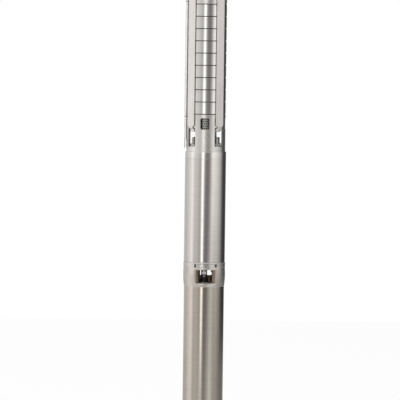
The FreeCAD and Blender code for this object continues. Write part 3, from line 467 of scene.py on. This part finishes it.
# base colour darkened to a painted shade: the strainer sits set back in the shade of the ports
pressedSteel = steel("pressedSteel", color=(0.2, 0.19, 0.18), roughness=0.3, edgeColor=(0.6, 0.58, 0.56))
shaftSteel = steel("shaftSteel", color=(0.30, 0.285, 0.275), roughness=0.22, soil=0.5,
                   soilColor=(0.14, 0.12, 0.11))
bellIron = steel("bellIron", grain=castGrain, color=(0.17, 0.16, 0.15), roughness=0.42, soil=0.4)
glandBrass = steel("glandBrass", color=(0.72, 0.53, 0.26), roughness=0.26, soilColor=(0.35, 0.25, 0.12))
rotorSteel = steel("rotorSteel", color=(0.38, 0.37, 0.36), roughness=0.42)
blackRubber = softMatter("blackRubber", (0.012, 0.011, 0.012), (0.03, 0.026, 0.027), (0.09, 0.08, 0.08),
                         0.6, 60.0)
carbonBlack = softMatter("carbonBlack", (0.035, 0.035, 0.037), (0.06, 0.06, 0.062), (0.12, 0.12, 0.12),
                         0.45, 90.0)
windingResin = softMatter("windingResin", (0.20, 0.07, 0.03), (0.30, 0.12, 0.05), (0.1, 0.05, 0.03),
                          0.35, 40.0)
valveMoulding = softMatter("valveMoulding", (0.05, 0.05, 0.055), (0.08, 0.08, 0.085), (0.14, 0.14, 0.14),
                           0.42, 50.0)
slotMaterial = {
    "motor_sleeve": upperSteel, "stage_steel": stageSteel, "strap_steel": stripSteel, "cast_steel": castSteel,
    "fastener_steel": fastenerSteel, "pressed_steel": pressedSteel, "shaft_steel": shaftSteel,
    "bell_iron": bellIron, "black_rubber": blackRubber, "carbon": carbonBlack, "stator_resin": windingResin,
    "rotor_core": rotorSteel, "brass_gland": glandBrass, "valve_plastic": valveMoulding,
}
ownMaterial = {
    "coupling_bracket": bracketSteel, "suction_interconnector": suctionSteel,
    "upper_motor_top_bell": upperSteel, "thrust_housing": lowerSteel,
}
for nodeName, node in nodes.items():
    material = ownMaterial.get(nodeName, slotMaterial[slotOf[nodeName]])
    if not node.material_slots:
        node.data.materials.append(material)
    for materialSlot in node.material_slots:
        materialSlot.material = material
print("materials made:", len(bpy.data.materials))

# Motor sleeves: drawn tube with rounded ends
sleeves = {"wall": 1.6, "endRound": 0.5, "segments": 192}


def makeSleeve(nodeName, material):
    radius = halfWidth(nodeName)
    low, high, wall, ends = lowOf(nodeName), highOf(nodeName), sleeves["wall"], sleeves["endRound"]
    surface = turnedSurface([(radius - wall, low, 0.1), (radius, low, ends), (radius, high, ends),
                             (radius - wall, high, 0.1)], sleeves["segments"])
    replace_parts(addPiece("skin_of_" + nodeName, [surface], "pump_body", material), nodeName)


makeSleeve("lower_motor_sleeve", lowerSteel)
makeSleeve("upper_motor_sleeve", upperSteel)
print("sleeves made")

# Tie straps: a rounded rectangle swept down the stack, bent inwards and down into the hook
straps = {"angles": (45, 135, 225, 315), "turn": -3.5, "inner": 45.22, "thickness": 2.5, "width": 22.0,
          "hookWidth": 11.0, "hookReach": 8.2, "hookWall": 5.4, "hookDrop": 7.0, "bend": 2.2, "edge": 0.7}


def strapGrid():
    # path of (r, z) stations; each section spans half width sideways and half thickness across the path
    s = straps
    high, half = highOf("tie_straps"), s["width"] / 2
    outer = s["inner"] + s["thickness"]
    middle = s["inner"] + s["thickness"] / 2
    footTop = lowOf("tie_straps") + s["hookDrop"] + s["thickness"]
    footMiddle = footTop - s["thickness"] / 2
    turn = np.linspace(0, math.pi / 2, 7)
    bend = np.stack([middle - s["bend"] * (1 - np.cos(turn)),
                     footMiddle + s["bend"] * (1 - np.sin(turn))], -1)
    toeEdge = s["inner"] - s["hookReach"] + s["hookWall"]
    path = np.concatenate([[[middle, high], [middle, high - 0.6], [middle, footTop + 6.0],
                            [middle, footTop + 3.5]], bend, [[toeEdge + 0.4, footMiddle]]])
    tangent = np.gradient(path, axis=0)
    tangent /= np.linalg.norm(tangent, axis=1)[:, None]
    normal = np.stack([-tangent[:, 1], tangent[:, 0]], -1)
    share = np.clip((footTop + 5.0 - path[:, 1]) / 3.0, 0, 1)[:, None]
    halfHere = half * (1 - share) + s["hookWidth"] / 2 * share
    thick = s["thickness"] / 2
    loop = roundedCorners([(-half, -thick, s["edge"]), (half, -thick, s["edge"]), (half, thick, s["edge"]),
                           (-half, thick, s["edge"])], 4)
    side = np.sign(loop[:, 0]) * (halfHere - (half - np.abs(loop[:, 0])))
    r = np.clip(path[:, :1] + normal[:, :1] * loop[:, 1], s["inner"] - s["hookReach"], outer)
    z = path[:, 1:] + normal[:, 1:] * loop[:, 1]
    return np.stack([side, -r, z], -1)


def hookToeGrid():
    # the hook's thick toe: a rounded rectangle swept straight down, drawn in a little at both ends
    s = straps
    low = lowOf("tie_straps")
    top = low + s["hookDrop"] + s["thickness"]
    inner, half = s["inner"] - s["hookReach"], s["hookWidth"] / 2
    loop = roundedCorners([(-half, -inner - s["hookWall"], 0.9), (half, -inner - s["hookWall"], 0.9),
                           (half, -inner, 0.9), (-half, -inner, 0.9)], 3)
    z = np.array([low, low + 0.5, top - 0.5, top])
    shrink = np.array([0.93, 1.0, 1.0, 0.93])[:, None, None]
    flat = loop.mean(0) + (loop[None] - loop.mean(0)) * shrink
    return np.concatenate([flat, np.broadcast_to(z[:, None, None], flat.shape[:2] + (1,))], -1)


def makeStraps():
    strap, toe = gridSurface(strapGrid()), gridSurface(hookToeGrid())
    surfaces = []
    for angle in straps["angles"]:
        turn = standing(0.0, 0.0, 0.0, angle + straps["turn"])
        surfaces += [placed(strap, turn), placed(toe, turn)]
    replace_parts(addPiece("tie_strap_set", surfaces, "pump_body", stripSteel), "tie_straps")


makeStraps()
print("straps made")

# Cable guard: pressed channel whose legs die away near the bottom
guard = {"angle": 266.5, "radius": 49.8, "stage": 45.2, "gap": 0.4, "width": 22.0, "wall": 1.4,
         "legCut": 20.0, "corner": 1.3, "taper": 5.0}


def makeGuard():
    # channel outline (web and two legs) swept up; the legs' depth falls almost to nothing over the taper
    g = guard
    low, high = lowOf("cable_guard"), highOf("cable_guard")
    half, wall = g["width"] / 2, g["wall"]
    legRoot = math.sqrt(g["stage"] ** 2 - (half - wall) ** 2) + g["gap"]
    legDepth = g["radius"] - wall - legRoot
    z = np.concatenate([[low, low + 0.5], low + g["legCut"] + np.linspace(0, g["taper"], 6), [high]])
    leg = legDepth * np.clip((z - low - g["legCut"]) / g["taper"], 0.004, 1)[:, None]
    outline = roundedCorners([(-half, 0, 0.3), (-half, 2, g["corner"]), (half, 2, g["corner"]),
                              (half, 0, 0.3), (half - wall, 0, 0.3), (half - wall, 1, 0.5),
                              (-half + wall, 1, 0.5), (-half + wall, 0, 0.3)], 3)
    level = outline[:, 1][None]     # 0 at the leg's foot, 1 at the web's inner face, 2 at its outer face
    depth = np.where(level <= 1, g["radius"] - wall - leg * (1 - level), g["radius"] - wall * (2 - level))
    grid = np.stack([np.broadcast_to(outline[:, 0][None], depth.shape), -depth,
                     np.broadcast_to(z[:, None], depth.shape)], -1)
    surface = placed(gridSurface(grid), standing(0.0, 0.0, 0.0, g["angle"]))
    pressing = addPiece("cable_guard_pressing", [surface], "pump_body", stripSteel)
    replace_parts(pressing, "cable_guard")


makeGuard()
print("guard made")

# Motor studs and nuts
fastening = {"ring": 38.1, "studRadius": 3.97, "pitch": 1.06, "threadDepth": 0.55, "nutHeight": 7.0,
             "flats": 12.7, "pastNut": 14.0, "depth": 14.0, "angles": (45, 135, 225, 315),
             "chamfer": 0.8, "lowerFlange": 8.0, "upperFlange": 12.0, "lowerTurn": 4.0,
             "upperTurn": -3.5}


def makeMotorFastening():
    f = fastening
    past = f["nutHeight"] + f["pastNut"]
    joints = [(lowOf("motor_studs") + f["depth"], f["lowerFlange"], f["lowerTurn"]),
              (highOf("motor_studs") - past - f["upperFlange"], f["upperFlange"], f["upperTurn"])]
    studs, nuts = [], []
    for face, flange, turn in joints:
        stud = threadedRod(f["studRadius"], -f["depth"], flange + past, f["pitch"], f["threadDepth"])
        nut = hexHead(f["flats"], flange, flange + f["nutHeight"], f["chamfer"], f["studRadius"] + 0.02)
        for angle in f["angles"]:
            spin = angle + turn
            studs.append(placed(stud, standing(f["ring"], spin, face, spin)))
            nuts.append(placed(nut, standing(f["ring"], spin, face, spin)))
    studPiece = addPiece("threaded_studs", studs, "pump_body", fastenerSteel, 60)
    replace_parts(studPiece, "motor_studs")
    nutPiece = addPiece("chamfered_nuts", nuts, "pump_body", fastenerSteel, 20)
    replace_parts(nutPiece, "motor_nuts")


makeMotorFastening()
print("studs and nuts made")

# Strap bolts and guard screws
smallScrews = {"turn": -3.5, "boltFace": 47.72, "boltFlats": 13.0, "boltHead": 3.5, "boltShank": 4.0,
               "boltReach": 9.5, "screwRadius": 2.3, "screwHead": 1.4, "slotWidth": 0.7, "slotDepth": 0.6,
               "screwShank": 1.3, "screwReach": 4.8, "screwAway": 46.5, "screwSide": 11.0}


def makeStrapBolts():
    s = smallScrews
    height = (lowOf("strap_bolts") + highOf("strap_bolts")) / 2
    head = hexHead(s["boltFlats"], 0.0, s["boltHead"], 0.7)
    shank = threadedRod(s["boltShank"], 0.0, s["boltReach"], 1.25, 0.6)
    bolts = []
    for angle in straps["angles"]:
        outward = np.array(around(1.0, math.radians(angle + s["turn"])))
        face = (*(outward * s["boltFace"]), height)
        bolts += [placed(head, facing(outward, face)), placed(shank, facing(-outward, face))]
    boltPiece = addPiece("strap_bolt_set", bolts, "pump_body", fastenerSteel, 20)
    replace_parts(boltPiece, "strap_bolts")


def makeGuardScrews():
    s = smallScrews
    head = screwHead(s["screwRadius"], s["screwHead"], s["slotWidth"], s["slotDepth"])
    shank = threadedRod(s["screwShank"], 0.0, s["screwReach"], 0.5, 0.2, 24, 8)
    turn = math.radians(s["turn"])
    along = np.array([-math.cos(turn), -math.sin(turn)])
    across = np.array([-math.sin(turn), math.cos(turn)])
    screws = []
    for height in (lowOf("guard_screws") + s["screwRadius"], highOf("guard_screws") - s["screwRadius"]):
        for side in (-1, 1):
            outward = across * side
            place = (*(along * s["screwAway"] + outward * s["screwSide"]), height)
            screws += [placed(head, facing(outward, place)), placed(shank, facing(-outward, place))]
    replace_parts(addPiece("guard_screw_set", screws, "pump_body", fastenerSteel, 25),
                "guard_screws")


makeStrapBolts()
makeGuardScrews()
print("bolts and screws made")

# Sand slingers: moulded rubber with a rolled lip and a waisted cone
slingers = {"bore": 7.02, "radius": 10.6, "rim": 3.0, "topRadius": 8.4, "lowerHeight": 11.5,
            "upperHeight": 8.0, "segments": 96}


def makeSlingers():
    s = slingers
    surfaces = []
    for low, height in ((lowOf("sand_slingers"), s["lowerHeight"]),
                        (highOf("sand_slingers") - s["upperHeight"], s["upperHeight"])):
        top, lip, rise = low + height, low + s["rim"], height - s["rim"]
        surfaces.append(turnedSurface([
            (s["bore"], low, 0.2), (s["radius"], low, 0.7), (s["radius"], lip, 0.8),
            (s["radius"] - 1.1, lip + 0.5, 0.3),
            (s["radius"] - 0.9, lip + 0.35 * rise, 0.8), (s["topRadius"] + 0.6, lip + 0.7 * rise, 0.8),
            (s["topRadius"], top, 0.7), (s["bore"], top, 0.2)], s["segments"]))
    mouldings = addPiece("slinger_mouldings", surfaces, "drive_line", blackRubber)
    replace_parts(mouldings, "sand_slingers")


makeSlingers()
print("slingers made")

# Camera: ten metres off, level with the object's upper end, leaning by under a degree
photo = {"pixel": 2.317 * mm, "distance": 10.3, "centreHeight": 0.5292, "axisOffset": 5.05,
         "eyeHeight": 0.9925, "lean": 0.733}


def makeCamera():
    target = Vector((-photo["axisOffset"] * photo["pixel"], 0.0, photo["centreHeight"]))
    place = Vector((target.x, -photo["distance"], photo["eyeHeight"]))
    camera = bpy.data.objects.new("camera", bpy.data.cameras.new("camera"))
    bpy.context.scene.collection.objects.link(camera)
    toTarget = target - place
    camera.data.sensor_width = 36.0
    camera.data.lens = 18.0 * toTarget.length / (200 * photo["pixel"])
    camera.data.clip_end = 100.0
    turn = toTarget.to_track_quat("-Z", "Y").to_matrix().to_4x4()
    leanTurn = Matrix.Rotation(math.radians(photo["lean"]), 4, "Z")
    camera.matrix_world = Matrix.Translation(place) @ turn @ leanTurn
    bpy.context.scene.camera = camera


makeCamera()

# Studio: a light tent; its levels by angle follow the brightness measured across the photo's tubes
tent = {"radius": 4.0, "low": -2.5, "high": 5.5, "sides": 96, "blends": ((-0.2, -0.06), (0.05, 0.4)),
        "leanStart": 0.45, "lean": 0.14,
        "foot": [(-180, 0.6), (-120, 0.65), (-90, 1.0), (-76, 1.0), (-62, 0.62), (-47, 0.65), (-34, 0.6),
                 (-22, 0.72), (-11, 0.66), (-3, 0.4), (1, 0.34), (7, 0.36), (13, 0.46), (25, 0.66),
                 (36, 0.92), (49, 0.68), (63, 0.46), (77, 0.48), (93, 0.34), (112, 0.28), (136, 0.24),
                 (165, 0.4)],
        "lower": [(-180, 0.7), (-128, 0.68), (-98, 0.93), (-80, 1.18), (-74, 1.2), (-64, 0.68),
                  (-51, 0.66), (-38, 0.66), (-29, 0.46), (-24, 0.44), (-19, 1.3), (-14, 2.4), (-9, 0.9),
                  (-5, 0.26), (0, 0.17), (8, 0.2), (14, 0.28), (20, 0.42), (26, 0.52), (32, 0.68),
                  (38, 0.72), (44, 0.66), (57, 0.5), (71, 0.6), (86, 0.42), (97, 0.3), (106, 0.15),
                  (116, 0.06), (150, 0.05), (165, 0.4)],
        "upper": [(-180, 0.7), (-128, 0.75), (-98, 1.0), (-82, 1.25), (-75, 1.42), (-66, 1.02),
                  (-58, 0.9), (-43, 0.82), (-33, 0.64), (-26, 0.6), (-21, 1.2), (-15, 2.0), (-10, 1.6),
                  (-6, 0.75), (-2, 0.45), (4, 0.31), (9, 0.26), (15, 0.25), (21, 0.31), (26, 0.45),
                  (31, 0.72), (37, 1.1), (43, 1.3), (61, 1.12), (75, 0.92), (84, 0.76), (94, 0.58),
                  (104, 0.3), (112, 0.12), (120, 0.08), (150, 0.06), (165, 0.45)]}


def addStageMesh(name, points, faces, material):
    mesh = bpy.data.meshes.new(name)
    mesh.from_pydata(points, [], faces)
    mesh.materials.append(material)
    thing = bpy.data.objects.new(name, mesh)
    bpy.context.scene.collection.objects.link(thing)
    return thing


def panelRamp(tree, share, panels, brightest):
    # one row of panels as a colour ramp, brightness given as a share of the brightest panel
    ramp = tree.nodes.new("ShaderNodeValToRGB")
    elements = ramp.color_ramp.elements
    for index, (degrees, level) in enumerate(panels):
        spot = (degrees + 180) / 360
        element = elements[index] if index < 2 else elements.new(spot)
        element.position = spot
        element.color = (level / brightest,) * 3 + (1.0,)
    tree.links.new(share, ramp.inputs["Fac"])
    return ramp.outputs["Color"]


def makeTent():
    sides = tent["sides"]
    angle = np.linspace(0, fullTurn, sides + 1)[:-1]
    x, y = around(tent["radius"], angle)
    rings = [np.stack([x, y, np.full(sides, z)], -1) for z in (tent["low"], tent["high"])]
    material = bpy.data.materials.new("tentPanels")
    material.use_nodes = True
    tree = material.node_tree
    tree.nodes.remove(tree.nodes["Principled BSDF"])
    split = tree.nodes.new("ShaderNodeSeparateXYZ")
    tree.links.new(tree.nodes.new("ShaderNodeTexCoord").outputs["Object"], split.inputs[0])
    towards = mathNode(tree, "MULTIPLY", split.outputs["Y"], -1.0)
    turnAngle = mathNode(tree, "ARCTAN2", split.outputs["X"], towards)
    above = mathNode(tree, "MAXIMUM", mathNode(tree, "SUBTRACT", split.outputs["Z"], tent["leanStart"]), 0.0)
    leaning = mathNode(tree, "SUBTRACT", turnAngle, mathNode(tree, "MULTIPLY", above, tent["lean"]))
    share = rangeNode(tree, leaning, -math.pi, math.pi)
    brightest = max(level for _, level in tent["upper"] + tent["lower"])
    foot, lower, upper = [panelRamp(tree, share, tent[row], brightest) for row in ("foot", "lower", "upper")]
    first, second = [rangeNode(tree, split.outputs["Z"], *blend) for blend in tent["blends"]]
    glow = tree.nodes.new("ShaderNodeEmission")
    glow.inputs["Strength"].default_value = brightest
    tree.links.new(mixColor(tree, second, mixColor(tree, first, foot, lower), upper), glow.inputs["Color"])
    tree.links.new(glow.outputs["Emission"], tree.nodes["Material Output"].inputs["Surface"])
    ring = addStageMesh("tent", np.concatenate(rings).tolist(), gridFaces(2, sides).tolist(), material)
    ring.visible_camera = False
    ring.visible_shadow = False


def makeFloor():
    size = 3.5
    material = bpy.data.materials.new("paleFloor")
    material.use_nodes = True
    tree = material.node_tree
    shader = tree.nodes["Principled BSDF"]
    shader.inputs["Base Color"].default_value = (0.9, 0.9, 0.9, 1.0)
    shader.inputs["Roughness"].default_value = 0.8
    seen = tree.nodes.new("ShaderNodeLightPath").outputs["Is Camera Ray"]
    glow = tree.nodes.new("ShaderNodeEmission")
    glow.inputs["Strength"].default_value = 1.03
    mixer = tree.nodes.new("ShaderNodeMixShader")
    tree.links.new(mathNode(tree, "MULTIPLY", seen, 0.9), mixer.inputs["Fac"])
    tree.links.new(shader.outputs["BSDF"], mixer.inputs[1])
    tree.links.new(glow.outputs["Emission"], mixer.inputs[2])
    tree.links.new(mixer.outputs["Shader"], tree.nodes["Material Output"].inputs["Surface"])
    corners = [(-size, -size, -0.0005), (size, -size, -0.0005), (size, size, -0.0005), (-size, size, -0.0005)]
    floor = addStageMesh("floor", corners, [(0, 1, 2, 3)], material)
    floor.visible_glossy = False     # the steel shows the light panels down to its foot


def makeWorld():
    world = bpy.data.worlds.new("studio")
    bpy.context.scene.world = world
    world.use_nodes = True
    tree = world.node_tree
    back = tree.nodes["Background"]
    back.inputs["Color"].default_value = (1.0, 1.0, 1.0, 1.0)
    path = tree.nodes.new("ShaderNodeLightPath")
    seen = mathNode(tree, "MAXIMUM", path.outputs["Is Camera Ray"], path.outputs["Is Glossy Ray"])
    seen = mathNode(tree, "MAXIMUM", seen, path.outputs["Is Transmission Ray"])
    tree.links.new(rangeNode(tree, seen, 0.0, 1.0, 0.6, 1.0), back.inputs["Strength"])


makeTent()
makeFloor()
makeWorld()
bpy.context.scene.view_settings.view_transform = "Standard"
print("studio made")
